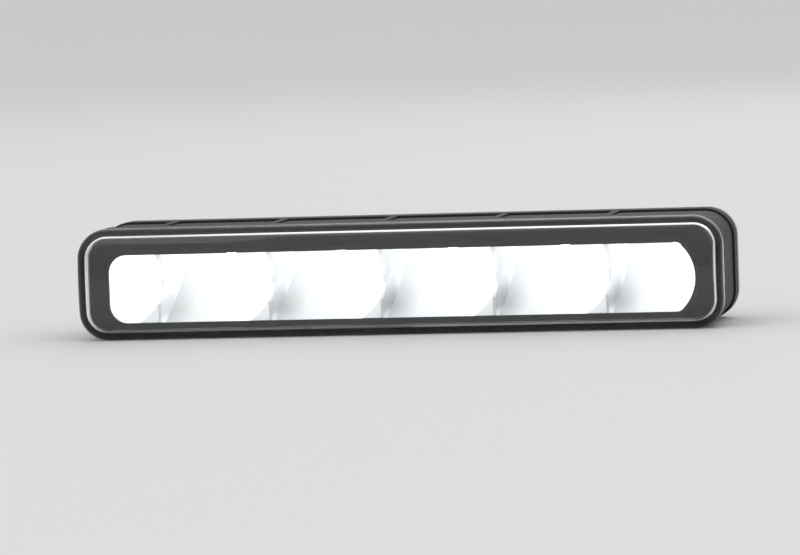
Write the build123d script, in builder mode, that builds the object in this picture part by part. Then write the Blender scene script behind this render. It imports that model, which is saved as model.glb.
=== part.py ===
from build123d import *
import os
from math import cos, radians, sin, sqrt

# Daytime running light: a slim bar lamp that is lit whenever its car is driven.
# Five light-emitting diodes hang under a flat board, and each shines down into a
# parabolic cup that turns its light forward through a clear cover lens.
# The bar is mounted at a slant to its beam, so its cups look inboard of its front.
# X runs along the bar to its outboard end, -Y is the way the lens faces, and Z is up.
# The origin is under the middle of the whole part, on the surface that it rests on.

# Light cells
cell_count = 5
cell_pitch = 31.0
cell_height = 19.5
aim_angle = 15.0
focal_length = 7.0
cup_depth = 19.0
cup_wall = 1.2
partition = 1.4
scallop_depth = 2.5
scallop_share = 0.72
inboard_pocket = 14.0
last_cell = 25.0
tab_thickness = 2.0
tab_width = 11.0
tab_depth = 8.0
tab_across = 9.8
tab_behind = 1.2

# Layers above and below the cells, from the housing's floor to its roof
floor_gap = 0.3
board_thickness = 1.5
pad_thickness = 0.3
shelf_thickness = 2.2
roof_gap = 0.4

# Housing
wall = 2.0
collar_step = 0.6
corner_radius = 8.0
end_room = 3.6
collar_length = 8.0
rear_flange_length = 6.0
rib_width = 2.0
mouth_lip = 1.2
mouth_depth = 3.0
boss_radius = 3.6
boss_length = 8.0
boss_inset = 6.5

# Cover lens, its seal and the trim bezel behind it
lens_wall = 2.4
lens_depth = 7.0
lens_crown_radius = 60.0
lens_edge_radius = 3.5
lens_inner_edge_radius = 1.2
tongue_length = 2.4
seam_break = 0.4
bezel_thickness = 2.5
bezel_overlap = 0.5
bezel_inboard_share = 0.27
bezel_outboard_share = 0.12
bezel_bulge_share = 0.24
bezel_flare = 1.5
cell_setback = 1.0

# Light-emitting diodes and the board that carries them
led_size = 3.5
led_base_height = 0.8
led_dome_radius = 1.4
board_end_margin = 3.5
board_rear_room = 2.7
board_corner_radius = 1.5

# Driver parts on the back strip of the board
driver_strip = 9.0
driver_edge_room = 4.5
chip_length = 5.0
chip_width = 4.0
chip_height = 1.6
inductor_size = 7.0
inductor_height = 4.2
capacitor_radius = 3.1
capacitor_height = 5.6
capacitor_foot_height = 0.8
diode_length = 4.4
diode_width = 2.6
diode_height = 2.2
terminal_length = 9.0
terminal_width = 6.0
terminal_height = 5.5
terminal_ways = 2
terminal_way_radius = 1.3
terminal_way_depth = 4.0

# Heat sink that closes the back
plate_thickness = 3.0
plate_edge_break = 0.8
fin_height = 12.0
fin_thickness = 2.0
fin_pitch = 6.5
fin_inset = 2.5
fin_tip_inset = 2.5
fin_tip_share = 0.45
fin_root_radius = 0.8
stud_boss_radius = 5.0
stud_boss_length = 6.0
seal_thickness = 1.0
seal_inset = 0.6

# Ports through the back
port_spacing = 17.0
port_clear_room = 9.0
gland_hole_radius = 4.5
gland_flange_radius = 6.5
gland_flange_thickness = 2.5
gland_lip_radius = 5.3
gland_lip_thickness = 1.6
gland_nose_radius = 4.0
gland_nose_length = 5.0
gland_rib_count = 3
gland_rib_radius = 4.6
gland_rib_width = 0.6
cable_bore_radius = 2.5
cable_relief_radius = 3.2
vent_hole_radius = 3.0
vent_stem_reach = 2.0
vent_bore_radius = 1.6
vent_cap_radius = 5.0
vent_cap_height = 3.0
vent_slot_width = 1.0
vent_slot_depth = 1.0
vent_slot_count = 6
vent_ring_radius = 3.0
vent_ring_width = 0.8
vent_ring_depth = 0.5

# Brackets
bracket_inset = 18.9
bracket_width = 18.0
bracket_thickness = 2.0
bracket_height = 22.0
bracket_reach = 32.0
bracket_bend = 1.5
bracket_corner_radius = 3.0
bracket_dart_leg = 6.0
bracket_dart_width = 3.0
slot_length = 11.0
slot_width = 5.5
slot_end_room = 10.0

# Screws
rear_screw_radius = 1.5
rear_screw_head_radius = 2.8
rear_screw_head_height = 2.0
rear_screw_reach = 6.5
board_screw_radius = 1.25
board_screw_head_radius = 2.2
board_screw_head_height = 1.5
bracket_screw_radius = 2.5
bracket_screw_head_radius = 4.4
bracket_screw_head_height = 3.2
bracket_screw_spare = 1.0
washer_radius = 5.2
washer_thickness = 1.0
socket_share = 0.55
socket_depth_share = 0.6
head_break_share = 0.3

# Fits
thread_clearance = 0.05
hole_clearance = 0.2
fit_gap = 0.1
trim_gap = 0.3

# Stations worked out from the sizes above
aim = radians(aim_angle)
shell = wall + collar_step
window_length = inboard_pocket + (cell_count - 1) * cell_pitch + last_cell
reflector_length = window_length + 2 * cup_wall
body_length = reflector_length + 2 * (end_room + shell)
inner_height = (
    floor_gap + cup_wall + cell_height + board_thickness + pad_thickness + shelf_thickness + roof_gap
)
body_height = inner_height + 2 * shell
body_middle = body_height / 2

cell_floor = shell + floor_gap + cup_wall
board_under = cell_floor + cell_height
board_top = board_under + board_thickness
shelf_under = board_top + pad_thickness
shelf_top = shelf_under + shelf_thickness
cell_middle = cell_floor + cell_height / 2

board_depth = cup_depth + driver_strip
housing_depth = cell_setback + cup_wall + fit_gap + board_depth + board_rear_room
overall_depth = lens_depth + housing_depth + seal_thickness + plate_thickness + bracket_reach
lens_front = -overall_depth / 2
rim_front = lens_front + lens_depth
cell_front = rim_front + cell_setback
rear_rim = rim_front + housing_depth
plate_front = rear_rim + seal_thickness
plate_rear = plate_front + plate_thickness
bracket_end = plate_rear + bracket_reach

first_edge = -window_length / 2 + inboard_pocket
cell_centres = [first_edge + cell_pitch * (i + 0.5) for i in range(cell_count)]
cup_centres = [cell_centres[0] - cell_pitch, *cell_centres]
cell_edges = [first_edge + cell_pitch * i for i in range(1, cell_count)]

bracket_x = body_length / 2 - bracket_inset
port_x = bracket_x - port_spacing
rear_screw_points = [
    (x, z)
    for x in (boss_inset - body_length / 2, body_length / 2 - boss_inset)
    for z in (boss_inset, body_height - boss_inset)
]


def facing(y):
    """Plane at depth y, seen from the front of the lamp: X to the right, Z up the page."""
    return Plane((0, y, 0), x_dir=(1, 0, 0), z_dir=(0, -1, 0))


def cell_point(centre, across, setback):
    """Plan position in a cell: across its optical axis to outboard, and back along that axis."""
    return (
        centre + across * cos(aim) + setback * sin(aim),
        cell_front - across * sin(aim) + setback * cos(aim),
    )


def body_outline(inset, mode=Mode.ADD):
    """The body's rounded front outline, drawn inside its outer edge by an inset."""
    with Locations((0, body_middle)):
        RectangleRounded(
            body_length - 2 * inset, body_height - 2 * inset, corner_radius - inset, mode=mode
        )


def cell_plane(centre):
    """Plane on the board's underside, its Y along the cell's optical axis and towards the back."""
    return Plane((centre, cell_front, board_under), x_dir=(cos(aim), -sin(aim), 0), z_dir=(0, 0, 1))


def half_cup(centre, growth, half_width):
    """Lower half of a parabolic cup, trimmed to its cell's walls and floor and grown by a wall."""
    front = -cell_pitch / 2
    reach = sqrt(4 * focal_length * (cup_depth - front)) + growth
    vertex = cup_depth + growth
    plane = cell_plane(centre)
    with BuildPart() as cup:
        with BuildSketch(plane):
            with BuildLine():
                Bezier((0, vertex), (reach / 2, vertex), (reach, front))
                Polyline((reach, front), (0, front), (0, vertex))
            make_face()
        revolve(axis=Axis(plane.origin, plane.y_dir), revolution_arc=180)
        with BuildSketch(plane):
            Rectangle(2 * half_width, 4 * (vertex - front))
        extrude(amount=-(cell_height + growth), mode=Mode.INTERSECT)
    return cup.part


# The points where the board and the reflector are screwed up to the heat sink's shelf,
# in the valleys between the backs of neighbouring cups
board_screw_points = [cell_point(centre, tab_across, cup_depth + tab_behind) for centre in cell_centres[:-1]]

# Board and shelf share one outline, from the pocket's end to just past the last diode
led_points = [cell_point(centre, 0, cup_depth - focal_length) for centre in cell_centres]
board_left = led_points[0][0] - cell_pitch / 2 - board_end_margin
board_right = led_points[-1][0] + board_end_margin
board_length = board_right - board_left
board_middle = (board_left + board_right) / 2
board_front = cell_front + cup_wall + fit_gap
board_centre_y = board_front + board_depth / 2


# Housing: a moulded sleeve with a collar round the lens, a flange at the back, stiffening
# ribs between the two, and screw bosses in its four back corners
with BuildPart() as housing:
    with BuildSketch(facing(rim_front)):
        body_outline(collar_step)
    extrude(amount=-housing_depth)
    with BuildSketch(facing(rim_front)):
        body_outline(0)
    extrude(amount=-collar_length)
    with BuildSketch(facing(rear_rim)):
        body_outline(0)
    extrude(amount=rear_flange_length)
    with BuildSketch(facing(rim_front)):
        with Locations(*[(edge, body_middle) for edge in (first_edge, *cell_edges)]):
            Rectangle(rib_width, body_height)
    extrude(amount=-housing_depth)
    with BuildSketch(facing(rim_front)):
        body_outline(shell)
    extrude(amount=-housing_depth, mode=Mode.SUBTRACT)
    with BuildSketch(facing(rim_front)):
        body_outline(mouth_lip)
    extrude(amount=-mouth_depth, mode=Mode.SUBTRACT)
    with BuildSketch(facing(rear_rim)):
        with Locations(*rear_screw_points):
            Circle(boss_radius)
    extrude(amount=boss_length)
    with BuildSketch(facing(rear_rim)):
        with Locations(*rear_screw_points):
            Circle(rear_screw_radius + thread_clearance)
    extrude(amount=boss_length, mode=Mode.SUBTRACT)
    chamfer(housing.faces().sort_by(Axis.Y)[0].outer_wire().edges(), seam_break)
housing.part.label = "housing"


# Cover lens: a clear moulding, crowned from top to bottom, whose tongue slips into the
# housing's mouth; lens and housing are broken at their outer edges for a bead of glue
with BuildPart() as lens_hollow:
    with BuildSketch(facing(rim_front)):
        body_outline(lens_wall)
    extrude(amount=lens_depth)
    with Locations((0, lens_front + lens_crown_radius, body_middle)):
        Cylinder(
            lens_crown_radius - lens_wall, body_length, rotation=(0, 90, 0), mode=Mode.INTERSECT
        )
    fillet(lens_hollow.faces().sort_by(Axis.Y)[0].edges(), lens_inner_edge_radius)

with BuildPart() as lens:
    with BuildSketch(facing(rim_front)):
        body_outline(0)
    extrude(amount=lens_depth)
    with Locations((0, lens_front + lens_crown_radius, body_middle)):
        Cylinder(lens_crown_radius, body_length, rotation=(0, 90, 0), mode=Mode.INTERSECT)
    fillet(lens.faces().sort_by(Axis.Y)[0].edges(), lens_edge_radius)
    add(lens_hollow.part, mode=Mode.SUBTRACT)
    with BuildSketch(facing(rim_front)):
        body_outline(mouth_lip + fit_gap)
        body_outline(lens_wall, mode=Mode.SUBTRACT)
    extrude(amount=-tongue_length)
    shoulder = lens.faces().filter_by(Axis.Y).group_by(Axis.Y)[-2][0]
    chamfer(shoulder.outer_wire().edges(), seam_break)
lens.part.label = "lens"


# Lens seal: a bead at the bottom of the mouth, pressed by the tongue
with BuildPart() as lens_seal:
    with BuildSketch(facing(rim_front + tongue_length)):
        body_outline(mouth_lip)
        body_outline(lens_wall, mode=Mode.SUBTRACT)
    extrude(amount=-(mouth_depth - tongue_length))
lens_seal.part.label = "lens_seal"


# Bezel: a black frame that hides everything in front of the cells but the cells, its window
# bowed at the outboard end
opening_height = cell_height - 2 * bezel_overlap
opening_top = cell_middle + opening_height / 2
opening_bottom = cell_middle - opening_height / 2
opening_end = window_length / 2 - bezel_overlap
bow_start = opening_end - bezel_bulge_share * opening_height
with BuildSketch() as bezel_window:
    with BuildLine():
        Polyline(
            (bow_start, opening_top),
            (-opening_end, opening_top),
            (-opening_end, opening_bottom),
            (bow_start, opening_bottom),
        )
        ThreePointArc((bow_start, opening_bottom), (opening_end, cell_middle), (bow_start, opening_top))
    make_face()
    fillet(bezel_window.vertices().group_by(Axis.X)[0], bezel_inboard_share * opening_height)
    fillet(bezel_window.vertices().group_by(Axis.X)[-1], bezel_outboard_share * opening_height)

with BuildPart() as bezel:
    with BuildSketch(facing(cell_front)):
        body_outline(shell + trim_gap)
        add(bezel_window.sketch, mode=Mode.SUBTRACT)
    extrude(amount=bezel_thickness)
    chamfer(bezel.faces().sort_by(Axis.Y)[0].inner_wires().edges(), bezel_flare)
bezel.part.label = "bezel"


# The hollow of the light cells: one cup for each diode and, at the inboard end, the outboard
# part of one more, which carries the pattern on to the end of the window
with BuildPart() as cell_hollows:
    for centre in cup_centres:
        add(half_cup(centre, 0, (cell_pitch * cos(aim) - partition) / 2))
    with Locations((0, cell_front, body_middle)):
        Box(window_length, 4 * cup_depth, body_height, mode=Mode.INTERSECT)

# Reflector: one thin-walled moulding of all the cups behind a flat front flange, with screw
# tabs in the valleys between the cups; the dividers are scalloped back from the front
scallop_height = scallop_share * cell_height
scallop_radius = (scallop_height**2 / 4 + scallop_depth**2) / (2 * scallop_depth)

with BuildPart() as reflector:
    for centre in cup_centres:
        add(half_cup(centre, cup_wall, cell_pitch * cos(aim) / 2))
    with Locations((0, cell_front, body_middle)):
        Box(
            reflector_length,
            4 * cup_depth,
            body_height,
            align=(Align.CENTER, Align.MIN, Align.CENTER),
            mode=Mode.INTERSECT,
        )
    with BuildSketch(facing(cell_front)):
        with Locations((0, cell_floor - cup_wall)):
            Rectangle(
                reflector_length,
                cup_wall + cell_height + board_thickness,
                align=(Align.CENTER, Align.MIN),
            )
    extrude(amount=-cup_wall)
    with BuildSketch(Plane.XY.offset(board_under)):
        with Locations(*[Location((*point, 0), (0, 0, -aim_angle)) for point in board_screw_points]):
            Rectangle(tab_width, tab_depth)
    extrude(amount=-tab_thickness)
    add(cell_hollows.part, mode=Mode.SUBTRACT)
    with Locations((0, cell_front + scallop_depth - scallop_radius, board_under - scallop_height / 2)):
        Cylinder(scallop_radius, window_length, rotation=(0, 90, 0), mode=Mode.SUBTRACT)
    with BuildSketch(Plane.XY.offset(board_under)):
        with Locations(*board_screw_points):
            Circle(board_screw_radius + hole_clearance)
    extrude(amount=-tab_thickness, mode=Mode.SUBTRACT)
    end_edges = reflector.edges().filter_by(Axis.Y).group_by(Axis.Z)[0].sort_by(Axis.X)
    fillet([end_edges[0], end_edges[-1]], 2 * cup_wall)
reflector.part.label = "reflector"


# Board: an aluminium-cored circuit board, its diodes on the underside
with BuildPart() as led_board:
    with BuildSketch(Plane.XY.offset(board_under)):
        with Locations((board_middle, board_centre_y)):
            RectangleRounded(board_length, board_depth, board_corner_radius)
        with Locations(*board_screw_points):
            Circle(board_screw_radius + hole_clearance, mode=Mode.SUBTRACT)
    extrude(amount=board_thickness)
led_board.part.label = "led_board"


# Thermal pad between the board and the heat sink's shelf
with BuildPart() as thermal_pad:
    with BuildSketch(Plane.XY.offset(board_top)):
        with Locations((board_middle, board_centre_y)):
            RectangleRounded(board_length, board_depth, board_corner_radius)
        with Locations(*board_screw_points):
            Circle(board_screw_radius + hole_clearance, mode=Mode.SUBTRACT)
    extrude(amount=pad_thickness)
thermal_pad.part.label = "thermal_pad"


# Diodes: a square ceramic base and a clear dome, at the focus of each cup
def light_diode(point):
    """One diode, hanging from the board's underside and square to its cell."""
    under = Plane((*point, board_under), x_dir=(cos(aim), -sin(aim), 0), z_dir=(0, 0, -1))
    with BuildPart() as diode:
        with BuildSketch(under):
            Rectangle(led_size, led_size)
        extrude(amount=led_base_height)
        with Locations(under.offset(led_base_height)):
            Sphere(led_dome_radius, arc_size1=0, align=(Align.CENTER, Align.CENTER, Align.MIN))
    return diode.part


leds = [light_diode(point) for point in led_points]
for number, diode in enumerate(leds, start=1):
    diode.label = f"led_{number}"


# Driver parts hang in a row on the board's back strip, behind the cups
driver_y = board_front + board_depth - driver_edge_room
driver_pitch = (board_screw_points[-1][0] - board_screw_points[0][0]) / 3
driver_start = board_screw_points[0][0] + cell_pitch / 2
chip_x, inductor_x, capacitor_x, diode_x = [driver_start + driver_pitch * i for i in range(4)]


def under_board(x):
    """Plane on the board's underside at a place on the back strip, facing down."""
    return Plane((x, driver_y, board_under), x_dir=(1, 0, 0), z_dir=(0, 0, -1))


with BuildPart() as driver_chip:
    with BuildSketch(under_board(chip_x)):
        Rectangle(chip_length, chip_width)
    extrude(amount=chip_height)
    chamfer(driver_chip.faces().sort_by(Axis.Z)[0].edges(), chip_height / 5)
driver_chip.part.label = "driver_chip"

with BuildPart() as power_inductor:
    with BuildSketch(under_board(inductor_x)):
        RectangleRounded(inductor_size, inductor_size, inductor_size / 6)
    extrude(amount=inductor_height)
    chamfer(power_inductor.faces().sort_by(Axis.Z)[0].edges(), inductor_height / 10)
power_inductor.part.label = "power_inductor"

with BuildPart() as input_capacitor:
    with BuildSketch(under_board(capacitor_x)):
        Rectangle(2 * capacitor_radius, 2 * capacitor_radius)
    extrude(amount=capacitor_foot_height)
    with BuildSketch(under_board(capacitor_x)):
        Circle(capacitor_radius)
    extrude(amount=capacitor_height)
    chamfer(input_capacitor.faces().sort_by(Axis.Z)[0].edges(), capacitor_radius / 6)
input_capacitor.part.label = "input_capacitor"

with BuildPart() as polarity_diode:
    with BuildSketch(under_board(diode_x)):
        Rectangle(diode_length, diode_width)
    extrude(amount=diode_height)
    chamfer(polarity_diode.faces().sort_by(Axis.Z)[0].edges(), diode_height / 5)
polarity_diode.part.label = "polarity_diode"

with BuildPart() as wire_terminal:
    with BuildSketch(under_board(-port_x)):
        Rectangle(terminal_length, terminal_width)
    extrude(amount=terminal_height)
    with BuildSketch(facing(driver_y + terminal_width / 2)):
        with Locations((-port_x, board_under - terminal_height / 2)):
            with GridLocations(terminal_length / terminal_ways, 1, terminal_ways, 1):
                Circle(terminal_way_radius)
    extrude(amount=terminal_way_depth, mode=Mode.SUBTRACT)
wire_terminal.part.label = "wire_terminal"


# Heat sink: a die-cast back plate with cooling fins outside and, inside, the shelf that
# carries the board and the bosses that take the bracket screws
fin_room = 2 * (port_x - port_clear_room)
fin_count = int((fin_room - fin_thickness) / fin_pitch) + 1

with BuildPart() as heat_sink:
    with BuildSketch(facing(plate_front)):
        body_outline(0)
    extrude(amount=-plate_thickness)
    chamfer(heat_sink.faces().sort_by(Axis.Y)[-1].edges(), plate_edge_break)
    with BuildSketch(facing(plate_front)):
        with Locations((board_middle, shelf_under)):
            Rectangle(board_length, shelf_thickness, align=(Align.CENTER, Align.MIN))
    extrude(amount=plate_front - board_front)
    for step in range(fin_count):
        with BuildSketch(Plane.YZ.offset(fin_pitch * (step - (fin_count - 1) / 2))):
            with BuildLine():
                Polyline(
                    (plate_rear, fin_inset),
                    (plate_rear + fin_height, fin_inset + fin_tip_inset),
                    (plate_rear + fin_height, body_height - fin_inset - fin_tip_inset),
                    (plate_rear, body_height - fin_inset),
                    close=True,
                )
            make_face()
        extrude(amount=fin_thickness / 2, both=True)
    fin_tips = heat_sink.faces().group_by(Axis.Y)[-1]
    fillet(fin_tips.edges().filter_by(Axis.Z), fin_tip_share * fin_thickness)
    plate_back = heat_sink.faces().filter_by(Axis.Y).group_by(Axis.Y)[-2][0]
    fillet(plate_back.inner_wires().edges(), fin_root_radius)
    with BuildSketch(facing(plate_front)):
        with Locations((-bracket_x, body_middle), (bracket_x, body_middle)):
            Circle(stud_boss_radius)
    extrude(amount=stud_boss_length)
    with BuildSketch(facing(plate_rear)):
        with Locations((-bracket_x, body_middle), (bracket_x, body_middle)):
            Circle(bracket_screw_radius + thread_clearance)
    extrude(amount=plate_thickness + stud_boss_length - bracket_screw_spare, mode=Mode.SUBTRACT)
    with BuildSketch(facing(plate_rear)):
        with Locations(*rear_screw_points):
            Circle(rear_screw_radius + hole_clearance)
        with Locations((-port_x, body_middle)):
            Circle(gland_hole_radius)
        with Locations((port_x, body_middle)):
            Circle(vent_hole_radius)
    extrude(amount=plate_thickness, mode=Mode.SUBTRACT)
    with BuildSketch(Plane.XY.offset(shelf_under)):
        with Locations(*board_screw_points):
            Circle(board_screw_radius + thread_clearance)
    extrude(amount=shelf_thickness, mode=Mode.SUBTRACT)
heat_sink.part.label = "heat_sink"


# Rear seal: a flat gasket with an eye round each screw
with BuildPart() as rear_seal:
    with BuildSketch(facing(rear_rim)):
        body_outline(seal_inset)
        body_outline(shell, mode=Mode.SUBTRACT)
        with Locations(*rear_screw_points):
            Circle(boss_radius)
        with Locations(*rear_screw_points):
            Circle(rear_screw_radius + hole_clearance, mode=Mode.SUBTRACT)
    extrude(amount=-seal_thickness)
rear_seal.part.label = "rear_seal"


# Cable gland: a rubber grommet snapped into the back plate, whose ribbed nose grips the cable
with BuildPart() as cable_gland:
    with BuildSketch(Plane((-port_x, 0, body_middle), x_dir=(1, 0, 0), z_dir=(0, 0, 1))):
        with BuildLine():
            Polyline(
                (cable_relief_radius, plate_front - gland_lip_thickness),
                (gland_hole_radius, plate_front - gland_lip_thickness),
                (gland_lip_radius, plate_front),
                (gland_hole_radius - fit_gap, plate_front),
                (gland_hole_radius - fit_gap, plate_rear),
                (gland_flange_radius, plate_rear),
                (gland_flange_radius, plate_rear + gland_flange_thickness),
                (gland_nose_radius, plate_rear + gland_flange_thickness),
                (gland_nose_radius, plate_rear + gland_flange_thickness + gland_nose_length),
                (cable_bore_radius, plate_rear + gland_flange_thickness + gland_nose_length),
                (cable_bore_radius, plate_rear + gland_flange_thickness),
                (cable_relief_radius, plate_rear + gland_flange_thickness),
                close=True,
            )
        make_face()
    revolve(axis=Axis((-port_x, 0, body_middle), (0, 1, 0)))
    nose_start = plate_rear + gland_flange_thickness
    for step in range(1, gland_rib_count + 1):
        with BuildSketch(facing(nose_start + step * gland_nose_length / (gland_rib_count + 1))):
            with Locations((-port_x, body_middle)):
                Circle(gland_rib_radius)
                Circle(cable_relief_radius, mode=Mode.SUBTRACT)
        extrude(amount=gland_rib_width / 2, both=True)
cable_gland.part.label = "cable_gland"


# Breather: a mushroom cap with side slots, over the vent hole of the back plate
with BuildPart() as vent_cap:
    with BuildSketch(facing(plate_rear)):
        with Locations((port_x, body_middle)):
            Circle(vent_cap_radius)
    extrude(amount=-vent_cap_height)
    chamfer(vent_cap.faces().sort_by(Axis.Y)[-1].edges(), vent_cap_height / 3)
    with BuildSketch(facing(plate_rear + vent_cap_height)):
        with Locations((port_x, body_middle)):
            Circle(vent_ring_radius)
            Circle(vent_ring_radius - vent_ring_width, mode=Mode.SUBTRACT)
    extrude(amount=vent_ring_depth, mode=Mode.SUBTRACT)
    with BuildSketch(facing(plate_rear)):
        with Locations((port_x, body_middle)):
            Circle(vent_hole_radius - fit_gap)
    extrude(amount=plate_thickness + vent_stem_reach)
    with BuildSketch(facing(plate_rear)):
        with Locations((port_x, body_middle)):
            with PolarLocations((vent_hole_radius + vent_cap_radius) / 2, vent_slot_count):
                Rectangle(vent_cap_radius, vent_slot_width)
    extrude(amount=-vent_slot_depth, mode=Mode.SUBTRACT)
    with BuildSketch(facing(plate_front - vent_stem_reach)):
        with Locations((port_x, body_middle)):
            Circle(vent_bore_radius)
    extrude(amount=-(vent_stem_reach + plate_thickness), mode=Mode.SUBTRACT)
vent_cap.part.label = "vent_cap"


# Brackets: bent steel angles, screwed to the back plate, with a slot in each foot and a
# dart that stiffens the bend
with BuildPart() as bracket_outboard:
    with BuildSketch(Plane.YZ.offset(bracket_x)):
        with BuildLine():
            FilletPolyline(
                (plate_rear, bracket_height),
                (plate_rear, 0),
                (bracket_end, 0),
                radius=bracket_bend + bracket_thickness,
            )
            offset(amount=bracket_thickness, side=Side.LEFT)
        make_face()
    extrude(amount=bracket_width / 2, both=True)
    fillet(
        bracket_outboard.faces().sort_by(Axis.Y)[-1].edges().filter_by(Axis.Z)
        + bracket_outboard.faces().sort_by(Axis.Z)[-1].edges().filter_by(Axis.Y),
        bracket_corner_radius,
    )
    with BuildSketch(facing(plate_rear)):
        with Locations((bracket_x, body_middle)):
            Circle(bracket_screw_radius + hole_clearance)
    extrude(amount=-bracket_thickness, mode=Mode.SUBTRACT)
    with BuildSketch():
        with Locations((bracket_x, bracket_end - slot_end_room)):
            SlotOverall(slot_length, slot_width)
    extrude(amount=bracket_thickness, mode=Mode.SUBTRACT)
    with BuildSketch(Plane.YZ.offset(bracket_x)):
        with Locations((plate_rear + bracket_thickness, bracket_thickness)):
            Polygon((0, 0), (bracket_dart_leg, 0), (0, bracket_dart_leg), align=None)
    extrude(amount=bracket_dart_width / 2, both=True)
bracket_outboard.part.label = "bracket_outboard"

with BuildPart() as bracket_inboard:
    mirror(bracket_outboard.part, about=Plane.YZ)
bracket_inboard.part.label = "bracket_inboard"


def screw_set(head_plane, points, radius, reach, head_radius, head_height):
    """Socket-head screws on a plane that faces the way their heads stand, one solid for each point."""
    with BuildPart() as screws:
        with BuildSketch(head_plane):
            with Locations(*points):
                Circle(head_radius)
        extrude(amount=head_height)
        tops = screws.faces().group_by(Axis(head_plane.origin, head_plane.z_dir))[-1]
        chamfer(tops.edges(), head_break_share * head_height)
        with BuildSketch(head_plane):
            with Locations(*points):
                Circle(radius)
        extrude(amount=-reach)
        with BuildSketch(head_plane.offset(head_height)):
            with Locations(*points):
                RegularPolygon(socket_share * head_radius, 6)
        extrude(amount=-socket_depth_share * head_height, mode=Mode.SUBTRACT)
    return screws.part


# Rear screws hold the heat sink to the housing's bosses
behind = Plane((0, plate_rear, 0), x_dir=(-1, 0, 0), z_dir=(0, 1, 0))
rear_screws = screw_set(
    behind,
    [(-x, z) for x, z in rear_screw_points],
    rear_screw_radius,
    plate_thickness + seal_thickness + rear_screw_reach,
    rear_screw_head_radius,
    rear_screw_head_height,
)
rear_screws.label = "rear_screws"

# Board screws clamp the reflector's tabs and the board up to the shelf
below = Plane((0, 0, board_under - tab_thickness), x_dir=(1, 0, 0), z_dir=(0, 0, -1))
board_screws = screw_set(
    below,
    [(x, -y) for x, y in board_screw_points],
    board_screw_radius,
    shelf_top - board_under + tab_thickness,
    board_screw_head_radius,
    board_screw_head_height,
)
board_screws.label = "board_screws"

# Bracket screws and their washers
bracket_face = plate_rear + bracket_thickness
bracket_points = [(-bracket_x, body_middle), (bracket_x, body_middle)]
with BuildPart() as bracket_washers:
    with BuildSketch(Plane((0, bracket_face, 0), x_dir=(-1, 0, 0), z_dir=(0, 1, 0))):
        with Locations(*bracket_points):
            Circle(washer_radius)
            Circle(bracket_screw_radius + hole_clearance, mode=Mode.SUBTRACT)
    extrude(amount=washer_thickness)
bracket_washers.part.label = "bracket_washers"

bracket_screws = screw_set(
    Plane((0, bracket_face + washer_thickness, 0), x_dir=(-1, 0, 0), z_dir=(0, 1, 0)),
    bracket_points,
    bracket_screw_radius,
    washer_thickness + bracket_thickness + plate_thickness + stud_boss_length - 2 * bracket_screw_spare,
    bracket_screw_head_radius,
    bracket_screw_head_height,
)
bracket_screws.label = "bracket_screws"


# One file for each piece
pieces = [
    housing.part,
    lens.part,
    lens_seal.part,
    bezel.part,
    reflector.part,
    led_board.part,
    thermal_pad.part,
    *leds,
    driver_chip.part,
    power_inductor.part,
    input_capacitor.part,
    polarity_diode.part,
    wire_terminal.part,
    heat_sink.part,
    rear_seal.part,
    cable_gland.part,
    vent_cap.part,
    bracket_inboard.part,
    bracket_outboard.part,
    rear_screws,
    board_screws,
    bracket_washers.part,
    bracket_screws,
]
os.makedirs("parts", exist_ok=True)
for piece in pieces:
    export_step(piece, f"parts/{piece.label}.step")
    print(piece.label, len(piece.solids()), round(piece.volume, 1))
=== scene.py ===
# %% [markdown]
# # A daytime running light, switched on
#
# A slim bar lamp that is lit whenever its car is driven. Five light-emitting diodes hang under a
# board and shine down into bright parabolic cups, which throw the light forward through a clear
# cover lens.
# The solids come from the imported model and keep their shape. This lesson gives them their finishes,
# adds the fine work that a solid model leaves out, and sets up a plain studio.

import math

import bpy
from mathutils import Matrix, Vector


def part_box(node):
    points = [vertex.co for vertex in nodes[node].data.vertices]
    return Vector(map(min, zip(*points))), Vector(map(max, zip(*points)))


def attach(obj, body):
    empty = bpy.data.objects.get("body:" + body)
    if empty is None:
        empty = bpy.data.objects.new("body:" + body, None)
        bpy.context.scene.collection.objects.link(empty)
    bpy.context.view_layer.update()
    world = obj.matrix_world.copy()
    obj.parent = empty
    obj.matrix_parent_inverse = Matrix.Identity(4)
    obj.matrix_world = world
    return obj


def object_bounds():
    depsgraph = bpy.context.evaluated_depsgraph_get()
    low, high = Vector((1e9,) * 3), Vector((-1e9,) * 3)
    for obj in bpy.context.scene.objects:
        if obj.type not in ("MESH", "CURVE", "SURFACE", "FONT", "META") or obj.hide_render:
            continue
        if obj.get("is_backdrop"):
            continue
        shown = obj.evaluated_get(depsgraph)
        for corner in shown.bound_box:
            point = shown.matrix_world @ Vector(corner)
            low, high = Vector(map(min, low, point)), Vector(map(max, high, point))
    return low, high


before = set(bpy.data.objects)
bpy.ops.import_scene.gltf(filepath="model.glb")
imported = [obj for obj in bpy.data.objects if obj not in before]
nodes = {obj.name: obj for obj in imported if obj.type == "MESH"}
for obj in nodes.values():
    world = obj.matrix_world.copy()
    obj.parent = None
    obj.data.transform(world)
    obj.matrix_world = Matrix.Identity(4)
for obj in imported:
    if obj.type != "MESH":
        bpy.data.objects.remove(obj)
solid_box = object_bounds()
print("solid pieces:", len(nodes))
print("solid box, mm:", [[round(1000 * value, 1) for value in corner] for corner in solid_box])

# %% [markdown]
# ## Sizes that the finishes need
#
# A pattern that follows the lamp has to know where the diodes and cups are. The diodes' own boxes
# give that, so a finish moves with the model when the model changes. Only the number of diodes and
# the angle at which the cups look past the front of the lens are written down here.

# %% Read the light cells from the diodes
MM = 0.001
DIODE_COUNT = 5
AIM = math.radians(15.0)

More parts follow.
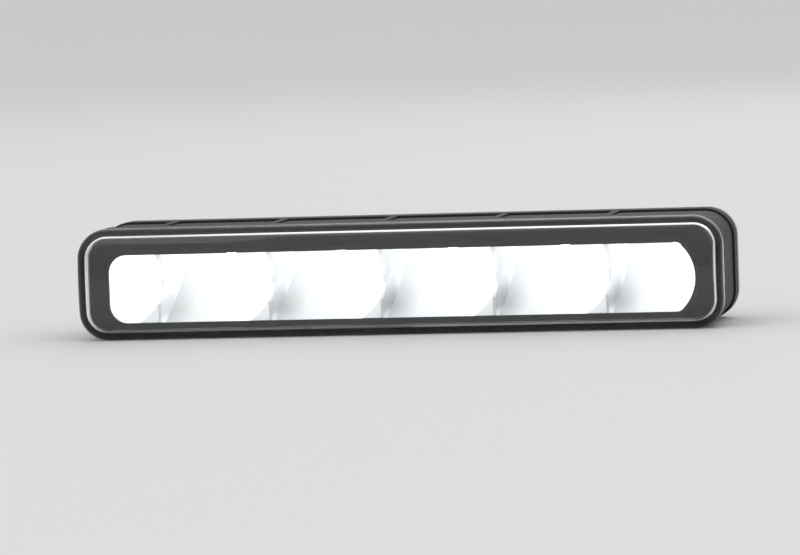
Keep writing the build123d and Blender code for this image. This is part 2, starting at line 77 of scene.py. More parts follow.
diode_names = [f"led_{number}" for number in range(1, DIODE_COUNT + 1)]
diode_boxes = [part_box(name) for name in diode_names]
diode_centres = [(Vector(low) + Vector(high)) / 2 for low, high in diode_boxes]
first_diode = diode_centres[0]
board_underside = diode_boxes[0][1][2]
cell_pitch = (diode_centres[-1].x - first_diode.x) / (DIODE_COUNT - 1)
cell_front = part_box("reflector")[0][1]
cell_height = board_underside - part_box("reflector")[0][2]
print("cell pitch, mm:", round(cell_pitch / MM, 2), " cell height, mm:", round(cell_height / MM, 2))

# %% [markdown]
# ## Helpers for finishes
#
# Colours are written as the hex values that a screen shows, and one function turns them to the
# linear values that the shader mixes. Another adds a node with its settings and links, so that each
# finish below reads as a short list of steps.


# %% Colour and node helpers
def linear(hex_colour):
    """An sRGB hex colour as linear red, green, blue and alpha."""
    parts = [int(hex_colour[i : i + 2], 16) / 255 for i in (1, 3, 5)]
    return (*[p / 12.92 if p <= 0.04045 else ((p + 0.055) / 1.055) ** 2.4 for p in parts], 1.0)


def add_node(tree, kind, settings=None, links=None):
    """Adds a node. Settings are its properties or constant inputs, links are inputs fed by sockets."""
    node = tree.nodes.new(kind)
    for key, value in (settings or {}).items():
        if isinstance(key, str) and hasattr(node, key):
            setattr(node, key, value)
        else:
            node.inputs[key].default_value = value
    for key, socket in (links or {}).items():
        tree.links.new(socket, node.inputs[key])
    return node


print("white is", linear("#FFFFFF"))


# %% Start a finish and put it on solids
def start_finish(name, colour, sockets):
    """A new material with its main shader, and the lamp's own coordinates in metres."""
    material = bpy.data.materials.new(name)
    material.use_nodes = True
    tree = material.node_tree
    shader = tree.nodes["Principled BSDF"]
    shader.inputs["Base Color"].default_value = linear(colour)
    for socket, value in sockets.items():
        shader.inputs[socket].default_value = value
    place = add_node(tree, "ShaderNodeTexCoord").outputs["Object"]
    return material, tree, shader, place


def per_metre(size_mm):
    """The texture scale that makes one feature of a pattern this many millimetres wide."""
    return 1.0 / (size_mm * MM)


def dress(material, *names):
    """Puts a finish on solid nodes."""
    for name in names:
        nodes[name].material_slots[0].material = material
    print(material.name, "on", ", ".join(names) or "a piece to come")


print("a 1 mm pattern has the scale", per_metre(1.0))

# %% [markdown]
# ## Moulded surfaces
#
# Most of the lamp is moulded plastic or rubber, or cast metal. Such a skin is never one flat tone:
# the tool's texture makes a fine grain, and flow in the mould shifts the tone over a centimetre or
# so. One function draws both from noise, because they differ only in size and strength, and a second
# makes a whole finish of that kind in one call.


# %% Grain and mottle
def grain_skin(tree, shader, place, tones, rough, grain_mm, mottle_mm, depth_mm):
    """Mottles a colour between two tones, and adds a grain to the roughness and as bump."""
    mottle = add_node(
        tree,
        "ShaderNodeTexNoise",
        {"Scale": per_metre(mottle_mm), "Detail": 3.0, "Roughness": 0.55},
        {"Vector": place},
    ).outputs["Fac"]
    grain = add_node(
        tree,
        "ShaderNodeTexNoise",
        {"Scale": per_metre(grain_mm), "Detail": 2.0, "Roughness": 0.6},
        {"Vector": place},
    ).outputs["Fac"]
    tone = add_node(
        tree,
        "ShaderNodeMix",
        {"data_type": "RGBA", 6: linear(tones[0]), 7: linear(tones[1])},
        {0: mottle},
    )
    gloss = add_node(
        tree,
        "ShaderNodeMapRange",
        {"From Min": 0.3, "From Max": 0.7, "To Min": rough[0], "To Max": rough[1]},
        {"Value": grain},
    )
    bump = add_node(
        tree,
        "ShaderNodeBump",
        {"Strength": 1.0, "Distance": depth_mm * MM},
        {"Height": grain},
    )
    tree.links.new(tone.outputs[2], shader.inputs["Base Color"])
    tree.links.new(gloss.outputs["Result"], shader.inputs["Roughness"])
    tree.links.new(bump.outputs["Normal"], shader.inputs["Normal"])


def grained_finish(name, sockets, tones, rough, grain_mm, mottle_mm, depth_mm, solids=()):
    """A material with a grained skin, put on the solid nodes that are named."""
    material, tree, shader, place = start_finish(name, tones[0], sockets)
    grain_skin(tree, shader, place, tones, rough, grain_mm, mottle_mm, depth_mm)
    dress(material, *solids)
    return material


# %% [markdown]
# ## Housing
#
# The housing is a black glass-filled polyester moulding. Its tool is spark-eroded, which leaves a
# fine pebbled grain that hides flow marks and turns highlights soft. The real grain is about
# 0.15 mm; it is drawn at 0.6 mm so that it shows in the render. The pits of such a skin swallow part
# of the light that a smooth one would mirror, so its specular level is under the usual 0.5.

# %% Housing finish
grained_finish(
    "Glass_filled_polyester_black_spark_eroded",
    {"IOR": 1.5, "Specular IOR Level": 0.35},
    tones=("#17181A", "#212225"),
    rough=(0.5, 0.7),
    grain_mm=0.6,
    mottle_mm=14.0,
    depth_mm=0.03,
    solids=["housing"],
)

# %% [markdown]
# ## Bezel and breather
#
# The frame behind the lens is a satin black moulding with an etched skin that mirrors little, so that
# it stays dark around the lit cells. The breather's cap is polypropylene with a duller skin.

# %% Bezel and breather finishes
grained_finish(
    "ABS_black_satin_moulding",
    {"IOR": 1.53, "Specular IOR Level": 0.25},
    tones=("#0B0B0C", "#121213"),
    rough=(0.36, 0.48),
    grain_mm=0.5,
    mottle_mm=9.0,
    depth_mm=0.005,
    solids=["bezel"],
)
grained_finish(
    "Polypropylene_black_moulding",
    {"IOR": 1.49},
    tones=("#161617", "#202022"),
    rough=(0.45, 0.62),
    grain_mm=0.45,
    mottle_mm=6.0,
    depth_mm=0.03,
    solids=["vent_cap"],
)

# %% [markdown]
# ## Driver parts
#
# The parts that feed the diodes sit out of sight on the back strip of the board. They get the
# finishes that such parts have: dull black epoxy, pale nylon and a drawn aluminium can.

# %% Driver finishes
grained_finish(
    "Epoxy_black_transfer_moulded",
    {"IOR": 1.55},
    tones=("#151515", "#1E1E1F"),
    rough=(0.5, 0.68),
    grain_mm=0.3,
    mottle_mm=3.0,
    depth_mm=0.02,
    solids=["driver_chip", "power_inductor", "polarity_diode"],
)
grained_finish(
    "Nylon_natural_moulded",
    {"IOR": 1.53},
    tones=("#DDD8C8", "#EAE6DA"),
    rough=(0.4, 0.5),
    grain_mm=0.5,
    mottle_mm=4.0,
    depth_mm=0.01,
    solids=["wire_terminal"],
)
grained_finish(
    "Aluminium_drawn_can",
    {"Metallic": 1.0},
    tones=("#BFC1C4", "#D2D4D6"),
    rough=(0.25, 0.4),
    grain_mm=0.4,
    mottle_mm=5.0,
    depth_mm=0.005,
    solids=["input_capacitor"],
)

# %% [markdown]
# ## Rubber
#
# The gland, the gasket and the lens's bead are moulded synthetic rubber: black, dull and slightly
# bloomed, with a skin that is smooth to the touch but breaks up every highlight. The pad between the
# board and the metal shelf above it is a grey silicone sheet filled with ceramic powder.

# %% Rubber finishes
grained_finish(
    "EPDM_rubber_black_moulded",
    {"IOR": 1.52},
    tones=("#121212", "#1E1E1D"),
    rough=(0.62, 0.85),
    grain_mm=0.35,
    mottle_mm=5.0,
    depth_mm=0.02,
    solids=["lens_seal", "rear_seal", "cable_gland"],
)
grained_finish(
    "Silicone_grey_filled_sheet",
    {"IOR": 1.43},
    tones=("#96989B", "#A8AAAD"),
    rough=(0.7, 0.85),
    grain_mm=0.4,
    mottle_mm=5.0,
    depth_mm=0.01,
    solids=["thermal_pad"],
)

# %% [markdown]
# ## Cast back, coated feet and plated screws
#
# The back is die-cast aluminium, shot-blasted after casting: a bright, even, dull sparkle with
# faint clouds where the metal chilled. The feet are bent steel sheet with a black electro-coat,
# smooth but with a slight orange peel. The screws and washers are steel with a bright zinc plating,
# whose clear passivation leans to blue in some places and to yellow in others.

# %% Metal finishes
grained_finish(
    "Aluminium_die_cast_shot_blasted",
    {"Metallic": 1.0},
    tones=("#A3A6A9", "#C3C5C7"),
    rough=(0.32, 0.54),
    grain_mm=0.5,
    mottle_mm=9.0,
    depth_mm=0.06,
    solids=["heat_sink"],
)
grained_finish(
    "Steel_sheet_black_electro_coated",
    {"IOR": 1.5, "Coat Weight": 0.35, "Coat Roughness": 0.2},
    tones=("#1C1D20", "#26272B"),
    rough=(0.3, 0.42),
    grain_mm=1.1,
    mottle_mm=10.0,
    depth_mm=0.02,
    solids=["bracket_inboard", "bracket_outboard"],
)
zinc_steel = grained_finish(
    "Steel_zinc_plated_passivated",
    {"Metallic": 1.0},
    tones=("#B4BAC3", "#CBCBC6"),
    rough=(0.2, 0.34),
    grain_mm=0.5,
    mottle_mm=3.0,
    depth_mm=0.006,
    solids=["rear_screws", "board_screws", "bracket_washers", "bracket_screws"],
)

# %% [markdown]
# ## Board
#
# The board has a white solder mask over an aluminium core, so that it sends stray light back into
# the cups. The diodes are wired in a row, so the copper under the mask is a row of broad areas, parted
# at each diode, with one long track behind them that brings the current back. The gaps between them
# show through the mask as faint grooves, and are drawn from the distance to the nearest gap.

# %% Board: distance to the nearest gap in the copper
RETURN_TRACK = 5.0 * MM
board_mask, tree, shader, place = start_finish(
    "Solder_mask_white_on_aluminium_core", "#ECEDEB", {"IOR": 1.5, "Roughness": 0.35}
)
board_axes = add_node(tree, "ShaderNodeSeparateXYZ", {}, {0: place}).outputs
beside_first = add_node(
    tree, "ShaderNodeMath", {"operation": "SUBTRACT", 1: first_diode.x}, {0: board_axes["X"]}
)
beside_diode = add_node(
    tree,
    "ShaderNodeMath",
    {"operation": "WRAP", 1: cell_pitch / 2, 2: -cell_pitch / 2},
    {0: beside_first.outputs[0]},
)
behind_diodes = add_node(
    tree,
    "ShaderNodeMath",
    {"operation": "SUBTRACT", 1: first_diode.y + RETURN_TRACK},
    {0: board_axes["Y"]},
)
to_gaps = [
    add_node(tree, "ShaderNodeMath", {"operation": "ABSOLUTE"}, {0: line.outputs[0]}).outputs[0]
    for line in (beside_diode, behind_diodes)
]
to_gap = add_node(tree, "ShaderNodeMath", {"operation": "MINIMUM"}, {0: to_gaps[0], 1: to_gaps[1]})
print("gaps in the copper:", DIODE_COUNT, "at the diodes and one behind them")

# %% Board finish
GAP_EDGE = (0.2 * MM, 0.4 * MM)
GROOVE_DEPTH = 0.05 * MM
copper = add_node(
    tree,
    "ShaderNodeMapRange",
    {"From Min": GAP_EDGE[0], "From Max": GAP_EDGE[1]},
    {"Value": to_gap.outputs[0]},
).outputs["Result"]
mask_tone = add_node(
    tree,
    "ShaderNodeMix",
    {"data_type": "RGBA", 6: linear("#CDD1CE"), 7: linear("#ECEDEB")},
    {0: copper},
)
groove = add_node(
    tree, "ShaderNodeBump", {"Strength": 1.0, "Distance": GROOVE_DEPTH}, {"Height": copper}
)
tree.links.new(mask_tone.outputs[2], shader.inputs["Base Color"])
tree.links.new(groove.outputs["Normal"], shader.inputs["Normal"])
dress(board_mask, "led_board")

# %% [markdown]
# ## Cover lens
#
# The lens is clear polycarbonate under an acrylic hard coat. Real refraction through its two skins
# is what makes it read as clear plastic, so it gets full transmission, and the index of the hard
# coat, which is the skin that mirrors. A moulded lens is never quite flat: a very shallow wave,
# some 20 mm long, bends the reflections a little.

# %% Lens finish
WAVE_MM, WAVE_DEPTH = 22.0, 0.015 * MM
lens_clear, tree, shader, place = start_finish(
    "Polycarbonate_clear_hard_coated",
    "#FAFCFD",
    {"Transmission Weight": 1.0, "IOR": 1.49, "Roughness": 0.01},
)
wave = add_node(
    tree, "ShaderNodeTexNoise", {"Scale": per_metre(WAVE_MM), "Detail": 1.0}, {"Vector": place}
).outputs["Fac"]
lens_wave = add_node(
    tree, "ShaderNodeBump", {"Strength": 1.0, "Distance": WAVE_DEPTH}, {"Height": wave}
)
tree.links.new(lens_wave.outputs["Normal"], shader.inputs["Normal"])
dress(lens_clear, "lens")

# %% [markdown]
# ## Diodes
#
# A diode is a white ceramic square with a clear silicone dome over its chip. Switched on, the dome
# is far brighter than anything else, and the ceramic, which is flooded by it, glows a little too.
# Height alone tells the two apart.

# %% Diode finish
BASE_HEIGHT, DOME_FADE = 0.8 * MM, 0.3 * MM
CERAMIC_GLOW, DOME_GLOW = 1.0, 14.0
dome_start = board_underside - BASE_HEIGHT
led_lit, tree, shader, place = start_finish(
    "Ceramic_white_with_lit_silicone_dome",
    "#F3F1EA",
    {"IOR": 1.41, "Roughness": 0.3, "Emission Color": linear("#FBFDFF")},
)
height = add_node(tree, "ShaderNodeSeparateXYZ", {}, {0: place}).outputs["Z"]
dome = add_node(
    tree,
    "ShaderNodeMapRange",
    {
        "From Min": dome_start,
        "From Max": dome_start - DOME_FADE,
        "To Min": CERAMIC_GLOW,
        "To Max": DOME_GLOW,
    },
    {"Value": height},
)
tree.links.new(dome.outputs["Result"], shader.inputs["Emission Strength"])
dress(led_lit, *diode_names)

# %% [markdown]
# ## Reflector
#
# The reflector is a moulding coated with aluminium in a vacuum, so it mirrors whatever its cups look
# at. Switched on, each cup is flooded by its diode. A path tracer would need very many rays to find
# those small diodes in the mirrors, so the flood is given to the cups as a glow of their own, worked
# out from each point's place in its cell: full near the diode and weaker towards the corners.
# The side walls between the cups get painted shade: a darker grey base colour and a weaker glow.
# High up they still shine, but lower down their front edge stays dark, which is what parts one
# cell from the next, and the painted shade spreads a little into the low corner of the cup behind.
# The first wall stands beside the open pocket at the inboard end and gets less of it.

# %% Reflector: place of a point in its cell
reflector_lit, tree, shader, place = start_finish(
    "Polycarbonate_vacuum_aluminised_lit",
    "#E6E8EA",
    {"Metallic": 1.0, "Roughness": 0.12, "Emission Color": linear("#FEFFFF")},
)
axes = add_node(tree, "ShaderNodeSeparateXYZ", {}, {0: place})
slant = add_node(
    tree,
    "ShaderNodeMath",
    {"operation": "MULTIPLY_ADD", 1: -math.tan(AIM), 2: math.tan(AIM) * first_diode.y - first_diode.x},
    {0: axes.outputs["Y"]},
)
along = add_node(
    tree, "ShaderNodeMath", {"operation": "ADD"}, {0: axes.outputs["X"], 1: slant.outputs[0]}
).outputs[0]
across = add_node(
    tree,
    "ShaderNodeMath",
    {"operation": "WRAP", 1: cell_pitch / 2, 2: -cell_pitch / 2},
    {0: along},
).outputs[0]
drop = add_node(
    tree, "ShaderNodeMath", {"operation": "SUBTRACT", 0: board_underside}, {1: axes.outputs["Z"]}
).outputs[0]
depth_share = add_node(
    tree, "ShaderNodeMapRange", {"From Max": cell_height}, {"Value": drop}
).outputs["Result"]
print("a cell runs", round(cell_pitch / 2 / MM, 2), "mm each way from its diode")

# %% Reflector: painted shade on the side walls and the corners behind them
WALL_TURN = (0.975, 0.995)
CORNER_ACROSS, CORNER_DARK = (-8.5 * MM, -14.0 * MM), 0.75
facing = add_node(tree, "ShaderNodeNewGeometry").outputs["Normal"]
side_turn = add_node(
    tree,
    "ShaderNodeVectorMath",
    {"operation": "DOT_PRODUCT", 1: (math.cos(AIM), -math.sin(AIM), 0.0)},
    {0: facing},
).outputs["Value"]
wall = add_node(
    tree,
    "ShaderNodeMapRange",
    {"From Min": WALL_TURN[0], "From Max": WALL_TURN[1]},
    {"Value": side_turn},
).outputs["Result"]
# Painted shade in the low inboard corner of each cup, behind its wall
corner = add_node(
    tree,
    "ShaderNodeMapRange",
    {"From Min": CORNER_ACROSS[0], "From Max": CORNER_ACROSS[1], "To Max": CORNER_DARK},
    {"Value": across},
).outputs["Result"]
low_corner = add_node(tree, "ShaderNodeMath", {"operation": "MULTIPLY"}, {0: corner, 1: depth_share})
by_wall = add_node(
    tree, "ShaderNodeMath", {"operation": "MAXIMUM"}, {0: wall, 1: low_corner.outputs[0]}
).outputs[0]
print("corners darken from", round(-CORNER_ACROSS[0] / MM, 1), "mm inboard of a diode")

# %% Reflector: how dark the painted shade is, by depth, from front to back and along the bar
DARK_BY_DEPTH = (
    (0.0, 0.55),
    (0.3, 0.6),
    (0.5, 0.72),
    (0.63, 0.88),
    (0.76, 0.92),
    (0.88, 0.6),
    (1.0, 0.3),
)
BEHIND_FRONT, DARK_AT_BACK = (7.0 * MM, 17.0 * MM), 0.35
FIRST_WALL_DARK, OTHER_WALLS_DARK = 0.6, 0.88
low_down = add_node(tree, "ShaderNodeFloatCurve", {}, {"Value": depth_share})
darkness = low_down.mapping.curves[0].points
for share, dark in DARK_BY_DEPTH[1:-1]:
    darkness.new(share, dark)
darkness[0].location = DARK_BY_DEPTH[0]
darkness[-1].location = DARK_BY_DEPTH[-1]
low_down.mapping.update()
near_front = add_node(
    tree,
    "ShaderNodeMapRange",
    {
        "From Min": cell_front + BEHIND_FRONT[0],
        "From Max": cell_front + BEHIND_FRONT[1],
        "To Min": 1.0,
        "To Max": DARK_AT_BACK,
    },
    {"Value": axes.outputs["Y"]},
)
to_outboard = add_node(
    tree,
    "ShaderNodeMapRange",
    {
        "From Min": -cell_pitch / 2,
        "From Max": cell_pitch,
        "To Min": FIRST_WALL_DARK,
        "To Max": OTHER_WALLS_DARK,
    },
    {"Value": along},
)
# Painted shade: the walls and corners, weighted by depth, by nearness to the front and by place along
# the bar
painted_shade = by_wall
for dimmer in (low_down, near_front, to_outboard):
    painted_shade = add_node(
        tree, "ShaderNodeMath", {"operation": "MULTIPLY"}, {0: painted_shade, 1: dimmer.outputs[0]}
    ).outputs[0]
# Counts the nodes that draw the painted shade
print("thin coat drawn with", len(tree.nodes), "nodes")

# %% Reflector: glow and coat, both dimmed by the painted shade
GLOW_REACH, GLOW = (5.0 * MM, 24.0 * MM), (0.8, 0.42)
PAINTED_SHADE_GLOW = 0.03
LIP_DEPTH, LIP_SHARE = (0.2 * MM, 1.4 * MM), 0.6
from_diode = add_node(
    tree,
    "ShaderNodeVectorMath",
    {"operation": "LENGTH"},
    {0: add_node(tree, "ShaderNodeCombineXYZ", {}, {"X": across, "Z": drop}).outputs[0]},
).outputs["Value"]
cup_glow = add_node(
    tree,
    "ShaderNodeMapRange",
    {"From Min": GLOW_REACH[0], "From Max": GLOW_REACH[1], "To Min": GLOW[0], "To Max": GLOW[1]},
    {"Value": from_diode},
).outputs["Result"]
# The glow falls to a faint level where the painted shade lies
glow = add_node(
    tree, "ShaderNodeMix", {"data_type": "FLOAT", 3: PAINTED_SHADE_GLOW}, {0: painted_shade, 2: cup_glow}
).outputs[0]
lip = add_node(
    tree,
    "ShaderNodeMapRange",
    {
        "From Min": cell_front + LIP_DEPTH[0],
        "From Max": cell_front + LIP_DEPTH[1],
        "To Min": LIP_SHARE,
        "To Max": 1.0,
    },
    {"Value": axes.outputs["Y"]},
).outputs["Result"]
lit = add_node(tree, "ShaderNodeMath", {"operation": "MULTIPLY"}, {0: glow, 1: lip})
# The base colour turns from bright aluminium to a darker grey where the painted shade lies
coat = add_node(
    tree,
    "ShaderNodeMix",
    {"data_type": "RGBA", 6: linear("#E6E8EA"), 7: linear("#5B5E62")},
    {0: painted_shade},
)
tree.links.new(lit.outputs[0], shader.inputs["Emission Strength"])
tree.links.new(coat.outputs[2], shader.inputs["Base Color"])
dress(reflector_lit, "reflector")

# %% [markdown]
# ## Fine work on the solids
#
# A few small things that a maker's eye looks for repeat, or follow an edge, so Geometry Nodes makes
# them: a ring of bare metal, machined flat, under each screw head and round each port, the knurl on
# the heads of the bracket screws, and the glue in the seam of the lens. Each tree takes its sizes as
# named inputs and works on a few points. The result is kept as a plain mesh.


# %% Start and end of a Geometry Nodes tree
def start_tree(name, sizes):
    """A Geometry Nodes tree with a geometry input, named sizes, a material and a geometry output."""
    tree = bpy.data.node_groups.new(name, "GeometryNodeTree")
    tree.interface.new_socket("Points", in_out="INPUT", socket_type="NodeSocketGeometry")
    for size in sizes:
        tree.interface.new_socket(size, in_out="INPUT", socket_type="NodeSocketFloat")
    tree.interface.new_socket("Finish", in_out="INPUT", socket_type="NodeSocketMaterial")
    tree.interface.new_socket("Piece", in_out="OUTPUT", socket_type="NodeSocketGeometry")
    print(name, "takes", ", ".join(sizes))
    return tree, add_node(tree, "NodeGroupInput").outputs


def end_tree(tree, given, shape):
    """Puts a shape, turned to face the back, on every point, and ends the tree."""
    turned = add_node(
        tree, "GeometryNodeTransform", {"Rotation": (math.radians(-90), 0, 0)}, {"Geometry": shape}
    )
    placed = add_node(
        tree,
        "GeometryNodeInstanceOnPoints",
        {},
        {"Points": given["Points"], "Instance": turned.outputs[0]},
    )
    real = add_node(tree, "GeometryNodeRealizeInstances", {}, {"Geometry": placed.outputs[0]})
    coated = add_node(
        tree, "GeometryNodeSetMaterial", {}, {"Geometry": real.outputs[0], "Material": given["Finish"]}
    )
    add_node(tree, "NodeGroupOutput", {}, {"Piece": coated.outputs[0]})


# %% Run a tree
def node_made(name, tree, points, values):
    """Runs a tree on some points and gives back an object with the mesh that it makes."""
    seed = bpy.data.meshes.new(name + "_points")
    seed.from_pydata(points, [], [])
    holder = bpy.data.objects.new(name, seed)
    bpy.context.scene.collection.objects.link(holder)
    modifier = holder.modifiers.new("made_by_nodes", "NODES")
    modifier.node_group = tree
    for item in tree.interface.items_tree:
        if item.name in values:
            modifier[item.identifier] = values[item.name]
    graph = bpy.context.evaluated_depsgraph_get()
    mesh = bpy.data.meshes.new_from_object(
        holder.evaluated_get(graph), preserve_all_data_layers=True, depsgraph=graph
    )
    holder.modifiers.remove(modifier)
    holder.data = mesh
    print(name, len(mesh.polygons), "faces")
    return holder


# %% [markdown]
# ## Machined seats
#
# A cutter that turns on the spot leaves fine rings round its centre. Each ring keeps its own
# coordinates in an attribute before it is copied to its place, so the tool marks stay centred on
# every seat. Real marks are about 0.1 mm apart; they are drawn at 0.3 mm so that they show.

# %% Finish of the machined seats
MARK_MM, MARK_DEPTH = 0.3, 0.01 * MM
MARK_ROUGH = (0.16, 0.34)
machined, tree, shader, _ = start_finish("Aluminium_machined_bare", "#D3D5D7", {"Metallic": 1.0})
from_centre = add_node(
    tree,
    "ShaderNodeVectorMath",
    {"operation": "LENGTH"},
    {0: add_node(tree, "ShaderNodeAttribute", {"attribute_name": "turning"}).outputs["Vector"]},
)
phase = add_node(
    tree,
    "ShaderNodeMath",
    {"operation": "MULTIPLY", 1: 2 * math.pi * per_metre(MARK_MM)},
    {0: from_centre.outputs["Value"]},
)
mark = add_node(tree, "ShaderNodeMath", {"operation": "SINE"}, {0: phase.outputs[0]}).outputs[0]
shine = add_node(
    tree,
    "ShaderNodeMapRange",
    {"From Min": -1.0, "To Min": MARK_ROUGH[0], "To Max": MARK_ROUGH[1]},
    {"Value": mark},
)
cut = add_node(tree, "ShaderNodeBump", {"Strength": 1.0, "Distance": MARK_DEPTH}, {"Height": mark})
tree.links.new(shine.outputs["Result"], shader.inputs["Roughness"])
tree.links.new(cut.outputs["Normal"], shader.inputs["Normal"])
print(machined.name, "with rings", MARK_MM, "mm apart")

# %% Tree for a machined seat
seat_tree, given = start_tree("machined_seat", ("Inner radius", "Outer radius", "Height"))
width = add_node(
    seat_tree,
    "ShaderNodeMath",
    {"operation": "SUBTRACT"},
    {0: given["Outer radius"], 1: given["Inner radius"]},
).outputs[0]
middle = add_node(
    seat_tree,
    "ShaderNodeMath",
    {"operation": "MULTIPLY_ADD", 1: 0.5},
    {0: width, 2: given["Inner radius"]},
).outputs[0]
circle = add_node(seat_tree, "GeometryNodeCurvePrimitiveCircle", {"Resolution": 64}, {"Radius": middle})
section = add_node(
    seat_tree,
    "GeometryNodeCurvePrimitiveQuadrilateral",
    {},
    {"Width": width, "Height": given["Height"]},
)
ring = add_node(
    seat_tree,
    "GeometryNodeCurveToMesh",
    {},
    {"Curve": circle.outputs["Curve"], "Profile Curve": section.outputs["Curve"]},
)
marked = add_node(
    seat_tree,
    "GeometryNodeStoreNamedAttribute",
    {"data_type": "FLOAT_VECTOR", "domain": "POINT", "Name": "turning"},
    {
        "Geometry": ring.outputs[0],
        "Value": add_node(seat_tree, "GeometryNodeInputPosition").outputs[0],
    },
)
end_tree(seat_tree, given, marked.outputs[0])

# %% Machined seats
SCREW_HEAD = 2.8 * MM
SEAT_GAP, SEAT_REACH, SEAT_HEIGHT = 0.05 * MM, 1.0 * MM, 0.08 * MM
plate_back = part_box("bracket_outboard")[0][1]
screws_low, screws_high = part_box("rear_screws")
screw_points = [
    (x, plate_back, z)
    for x in (screws_low[0] + SCREW_HEAD, screws_high[0] - SCREW_HEAD)
    for z in (screws_low[2] + SCREW_HEAD, screws_high[2] - SCREW_HEAD)
]
seats = {"screw_seats": (screw_points, SCREW_HEAD)}
for port in ("cable_gland", "vent_cap"):
    low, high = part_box(port)
    port_middle = ((low[0] + high[0]) / 2, plate_back, (low[2] + high[2]) / 2)
    seats[port + "_seat"] = ([port_middle], (high[0] - low[0]) / 2)
for name, (points, covered) in seats.items():
    seat = node_made(
        name,
        seat_tree,
        points,
        {
            "Inner radius": covered + SEAT_GAP,
            "Outer radius": covered + SEAT_REACH,
            "Height": SEAT_HEIGHT,
            "Finish": machined,
        },
    )
    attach(seat, "root")

# %% [markdown]
# ## Knurled screw heads
#
# The bracket screws are cap screws, whose heads are knurled so that fingers can start them. The
# knurl is a ring of small half-round ridges that stand on the side of the head.

# %% Tree for a knurl
RIDGE_COUNT, RIDGE_SIDES = 44, 8
knurl_tree, given = start_tree("screw_knurl", ("Head radius", "Ridge radius", "Ridge length"))
spots = add_node(
    knurl_tree,
    "GeometryNodeMeshCircle",
    {"Vertices": RIDGE_COUNT, "fill_type": "NONE"},
    {"Radius": given["Head radius"]},
)
ridge = add_node(
    knurl_tree,
    "GeometryNodeMeshCylinder",
    {"Vertices": RIDGE_SIDES, "fill_type": "NGON"},
    {"Radius": given["Ridge radius"], "Depth": given["Ridge length"]},
)
knurl = add_node(
    knurl_tree,
    "GeometryNodeInstanceOnPoints",
    {},
    {"Points": spots.outputs[0], "Instance": ridge.outputs["Mesh"]},
)
end_tree(knurl_tree, given, knurl.outputs[0])

# %% Knurls
CAP_RADIUS, CAP_HEIGHT, CAP_BREAK = 4.4 * MM, 3.2 * MM, 0.96 * MM
RIDGE_RADIUS, RIDGE_END_ROOM = 0.2 * MM, 0.3 * MM
caps_low, caps_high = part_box("bracket_screws")
knurl_length = CAP_HEIGHT - CAP_BREAK
knurl_points = [
    (x, caps_high[1] - CAP_HEIGHT + knurl_length / 2, (caps_low[2] + caps_high[2]) / 2)
    for x in (caps_low[0] + CAP_RADIUS, caps_high[0] - CAP_RADIUS)
]
knurled = node_made(
    "screw_knurls",
    knurl_tree,
    knurl_points,
    {
        "Head radius": CAP_RADIUS,
        "Ridge radius": RIDGE_RADIUS,
        "Ridge length": knurl_length - RIDGE_END_ROOM,
        "Finish": zinc_steel,
    },
)
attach(knurled, "root")

# %% [markdown]
# ## Bead of glue
#
# The lens is glued to the housing all round. What squeezes out of the joint is wiped into the small
# groove between the two and cures there as a thin, half-glossy black bead. A tube that follows a
# rounded rectangle gives it, and one tree with the body's own sizes as inputs keeps it on the seam.

# %% Finish of the bead
glue = grained_finish(
    "Polyurethane_glue_black_cured",
    {"IOR": 1.5},
    tones=("#0F0F10", "#171718"),
    rough=(0.3, 0.5),
    grain_mm=1.6,
    mottle_mm=8.0,
    depth_mm=0.03,
)

# %% Tree for a bead
CORNER_STEPS, BEAD_SIDES = 14, 12
bead_tree, given = start_tree("glue_bead", ("Length", "Height", "Corner radius", "Bead radius"))
outline = add_node(
    bead_tree,
    "GeometryNodeCurvePrimitiveQuadrilateral",
    {},
    {"Width": given["Length"], "Height": given["Height"]},
)
path = add_node(
    bead_tree,
    "GeometryNodeFilletCurve",
    {"mode": "POLY", "Count": CORNER_STEPS},
    {"Curve": outline.outputs["Curve"], "Radius": given["Corner radius"]},
)
section = add_node(
    bead_tree,
    "GeometryNodeCurvePrimitiveCircle",
    {"Resolution": BEAD_SIDES},
    {"Radius": given["Bead radius"]},
)
bead = add_node(
    bead_tree,
    "GeometryNodeCurveToMesh",
    {},
    {"Curve": path.outputs["Curve"], "Profile Curve": section.outputs["Curve"]},
)
end_tree(bead_tree, given, bead.outputs["Mesh"])

# %% Bead in the seam
BODY_CORNER, BEAD_INSET, BEAD_RADIUS = 8.0 * MM, 0.3 * MM, 0.25 * MM
body_low, body_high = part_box("housing")
glue_bead = node_made(
    "glue_bead",
    bead_tree,
    [((body_low[0] + body_high[0]) / 2, body_low[1], (body_low[2] + body_high[2]) / 2)],
    {
        "Length": body_high[0] - body_low[0] - 2 * BEAD_INSET,
        "Height": body_high[2] - body_low[2] - 2 * BEAD_INSET,
        "Corner radius": BODY_CORNER - BEAD_INSET,
        "Bead radius": BEAD_RADIUS,
        "Finish": glue,
    },
)
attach(glue_bead, "root")

# %% [markdown]
# ## Studio
#
# A wide pale floor under a soft ceiling. The world is brightest overhead, so that the black parts
# are shaded from top to bottom, and at the horizon it is about as bright as the floor, so that no
# line shows in the lens. Three large area lights help: a key high on the left, a fill on the right,
# and a rim light behind that draws the edge of the housing.

# %% Floor
FLOOR_RADIUS = 14.0
bpy.ops.mesh.primitive_circle_add(
    vertices=96, radius=FLOOR_RADIUS, fill_type="NGON", location=(0, 0, 0)
)
floor = bpy.context.object
floor.name = "studio_floor"
floor_paper = start_finish("Paper_pale_matt", "#D8D8D5", {"Roughness": 0.75})[0]
floor.data.materials.append(floor_paper)
floor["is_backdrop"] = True
print(floor.name, "is", 2 * FLOOR_RADIUS, "m wide")

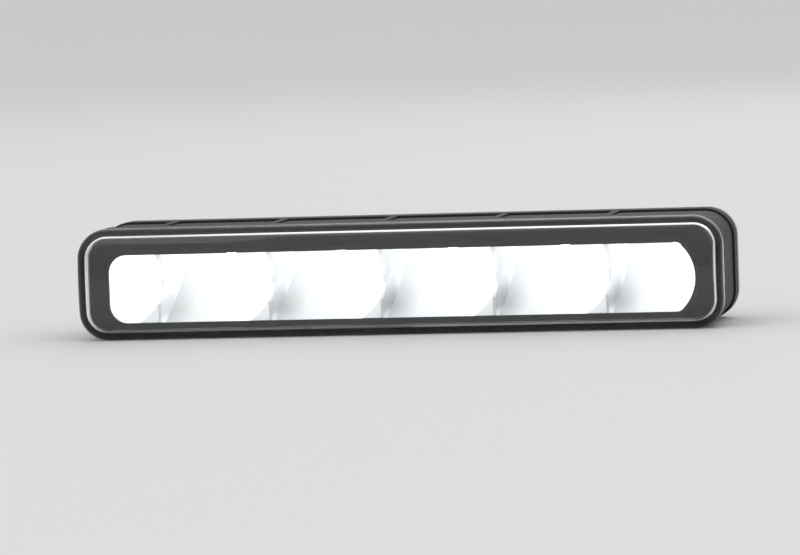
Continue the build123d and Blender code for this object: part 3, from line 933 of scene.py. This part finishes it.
# %% World
HORIZON, OVERHEAD = 0.6, 1.04
world = bpy.data.worlds.new("studio_world")
bpy.context.scene.world = world
world.use_nodes = True
sky = world.node_tree.nodes["Background"]
sky.inputs["Color"].default_value = linear("#F6F7F8")
view_way = add_node(world.node_tree, "ShaderNodeTexCoord").outputs["Generated"]
upward = add_node(world.node_tree, "ShaderNodeSeparateXYZ", {}, {0: view_way}).outputs["Z"]
ceiling = add_node(
    world.node_tree, "ShaderNodeMapRange", {"To Min": HORIZON, "To Max": OVERHEAD}, {"Value": upward}
)
world.node_tree.links.new(ceiling.outputs["Result"], sky.inputs["Strength"])
print("world from", HORIZON, "at the horizon to", OVERHEAD, "overhead")

# %% Lights: place, width and power of each, in metres and watts
LIGHTS = {
    "key_light": ((-0.8, -1.0, 1.3), 1.8, 5.5),
    "fill_light": ((1.2, -1.0, 1.0), 1.6, 3.0),
    "rim_light": ((0.3, 1.2, 1.1), 1.4, 4.0),
}
for name, (position, size, power) in LIGHTS.items():
    data = bpy.data.lights.new(name, "AREA")
    data.size = size
    data.energy = power
    light = bpy.data.objects.new(name, data)
    bpy.context.scene.collection.objects.link(light)
    light.location = position
    light.rotation_euler = (-Vector(position)).to_track_quat("-Z", "Y").to_euler()
    print(name, power, "W")
bpy.context.scene.view_settings.view_transform = "Standard"

# %% [markdown]
# ## Camera
#
# The camera looks from a little outboard of the lens's front and from a little above, as in the
# photograph, from well over a metre away through a long lens. The bar is fitted with its outboard
# end slightly raised, so the camera is rolled by that much.

# %% Camera
AZIMUTH, ELEVATION, ROLL = math.radians(10.0), math.radians(4.0), math.radians(-2.0)
DISTANCE, BEHIND_LENS_FRONT = 1.38, 8.0 * MM
SENSOR_MM, LENS_MM = 36.0, 228.0
target = Vector(
    (0.0, solid_box[0][1] + BEHIND_LENS_FRONT, (solid_box[0][2] + solid_box[1][2]) / 2)
)
outward = Vector(
    (
        math.sin(AZIMUTH) * math.cos(ELEVATION),
        -math.cos(AZIMUTH) * math.cos(ELEVATION),
        math.sin(ELEVATION),
    )
)
camera_data = bpy.data.cameras.new("photo_camera")
camera_data.sensor_width = SENSOR_MM
camera_data.lens = LENS_MM
camera_data.clip_start = 0.01
camera = bpy.data.objects.new("photo_camera", camera_data)
bpy.context.scene.collection.objects.link(camera)
stand = Matrix.Translation(target + DISTANCE * outward)
turn = (-outward).to_track_quat("-Z", "Y").to_matrix().to_4x4()
camera.matrix_world = stand @ turn @ Matrix.Rotation(ROLL, 4, "Z")
bpy.context.scene.camera = camera
print("camera", [round(value, 3) for value in camera.location])

# %% [markdown]
# ## Sizes
#
# The boxes of the solid model and of the finished lamp are printed. The finished lamp may not
# outgrow the solid model.

# %% Sizes and finish
sizes = {"solid_box": solid_box, "dressed_box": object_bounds()}
sizes = {name: [[float(value) for value in corner] for corner in box] for name, box in sizes.items()}
print(sizes)
